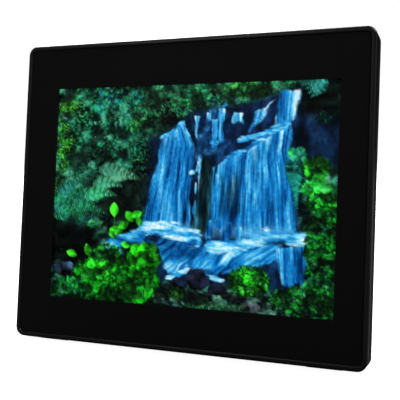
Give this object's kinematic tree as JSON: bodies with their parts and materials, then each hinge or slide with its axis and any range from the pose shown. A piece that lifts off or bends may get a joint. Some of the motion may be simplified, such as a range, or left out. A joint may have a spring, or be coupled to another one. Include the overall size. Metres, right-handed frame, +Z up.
{
  "type": "digital photo frame",
  "caption": "Black table-top digital photo frame with a bright 4:3 display, a flat border, a rounded rim, rear keys and a folding stand.",
  "frame": {"origin": "on the surface that the frame stands on, under the middle of the whole frame with its stand open", "axes": "+Z up, +X to the right of someone who looks at the display, -Y towards that person"},
  "size_m": [0.2, 0.0586, 0.1683],
  "materials": {
    "bezel_plastic": "black moulded plastic, satin to gloss, rounded rim",
    "face_plastic": "flat black panel, low gloss",
    "cover_plastic": "black moulded plastic with a fine spark-eroded texture",
    "stand_plastic": "black moulded plastic, fine texture",
    "key_plastic": "black rubber-feel key caps",
    "rubber": "dark soft rubber",
    "foam": "closed-cell foam strip",
    "tape": "double-sided foam tape",
    "steel_sheet": "tin-plated pressed steel",
    "screw_steel": "blackened steel",
    "picture_glass": "polarised display glass that shows a lit landscape picture",
    "white_film": "white optical film",
    "clear_acrylic": "light guide acrylic, treated as opaque",
    "white_plastic": "white moulded plastic",
    "led_strip": "light-emitting diodes on a white strip",
    "circuit_board": "green glass-fibre board",
    "chip_black": "black moulded package",
    "capacitor_can": "aluminium can",
    "jack_brass": "plated contact pin",
    "ribbon_film": "amber polyimide film",
    "wire_cover": "wire insulation",
    "speaker_metal": "plated steel basket and magnet",
    "speaker_paper": "pressed paper cone"
  },
  "bodies": {
    "frame": {"backlight_strip": "led_strip", "base_pads": "rubber", "board_screws": "screw_steel", "bracket_screws": "screw_steel", "capacitors": "capacitor_can", "card_socket": "steel_sheet", "clamp_screws": "screw_steel", "clock_battery": "steel_sheet", "clock_battery_holder": "steel_sheet", "clock_crystal": "steel_sheet", "diffuser_sheet": "white_film", "display_clamp_lower_left": "steel_sheet", "display_clamp_lower_right": "steel_sheet", "display_clamp_upper_left": "steel_sheet", "display_clamp_upper_right": "steel_sheet", "display_front_frame": "steel_sheet", "display_gasket": "foam", "display_glass": "picture_glass", "display_rear_tray": "white_plastic", "display_ribbon": "ribbon_film", "face_panel": "face_plastic", "face_tape": "tape", "friction_washers": "steel_sheet", "front_bezel": "bezel_plastic", "headphone_jack": "chip_black", "hinge_bracket": "steel_sheet", "hinge_pin": "screw_steel", "housing_screws": "screw_steel", "key_board": "circuit_board", "key_board_screws": "screw_steel", "key_ribbon": "ribbon_film", "key_switches": "chip_black", "light_guide": "clear_acrylic", "main_board": "circuit_board", "memory_chips": "chip_black", "power_coils": "chip_black", "power_jack": "chip_black", "power_jack_pin": "jack_brass", "processor": "chip_black", "rear_cover": "cover_plastic", "reflector_sheet": "white_film", "small_parts": "chip_black", "small_usb_socket": "steel_sheet", "small_usb_tongue": "chip_black", "speaker_cones": "speaker_paper", "speaker_foam": "foam", "speaker_left": "speaker_metal", "speaker_right": "speaker_metal", "speaker_wires": "wire_cover", "usb_socket": "steel_sheet", "usb_tongue": "chip_black"},
    "stand": {"stand_leg": "stand_plastic", "stand_shoe": "rubber"},
    "button_power": {"button_power": "key_plastic"},
    "button_menu": {"button_menu": "key_plastic"},
    "button_left": {"button_left": "key_plastic"},
    "button_play": {"button_play": "key_plastic"},
    "button_right": {"button_right": "key_plastic"},
    "button_up": {"button_up": "key_plastic"},
    "button_down": {"button_down": "key_plastic"}
  },
  "joints": [
    {"name": "stand_hinge", "type": "hinge", "parent": "frame", "child": "stand", "pos_m": [0, 0.00856, 0.08965], "axis": [1, 0, 0], "range_deg": [-20.7, 14]},
    {"name": "press_power", "type": "slide", "parent": "frame", "child": "button_power", "axis": [0, -0.9877, 0.1564], "range_m": [0, 0.0006], "stiffness_N_per_m": 400, "springref_m": -0.0005},
    {"name": "press_menu", "type": "slide", "parent": "frame", "child": "button_menu", "axis": [0, -0.9877, 0.1564], "range_m": [0, 0.0006], "stiffness_N_per_m": 400, "springref_m": -0.0005},
    {"name": "press_left", "type": "slide", "parent": "frame", "child": "button_left", "axis": [0, -0.9877, 0.1564], "range_m": [0, 0.0006], "stiffness_N_per_m": 400, "springref_m": -0.0005},
    {"name": "press_play", "type": "slide", "parent": "frame", "child": "button_play", "axis": [0, -0.9877, 0.1564], "range_m": [0, 0.0006], "stiffness_N_per_m": 400, "springref_m": -0.0005},
    {"name": "press_right", "type": "slide", "parent": "frame", "child": "button_right", "axis": [0, -0.9877, 0.1564], "range_m": [0, 0.0006], "stiffness_N_per_m": 400, "springref_m": -0.0005},
    {"name": "press_up", "type": "slide", "parent": "frame", "child": "button_up", "axis": [0, -0.9877, 0.1564], "range_m": [0, 0.0006], "stiffness_N_per_m": 400, "springref_m": -0.0005},
    {"name": "press_down", "type": "slide", "parent": "frame", "child": "button_down", "axis": [0, -0.9877, 0.1564], "range_m": [0, 0.0006], "stiffness_N_per_m": 400, "springref_m": -0.0005}
  ]
}
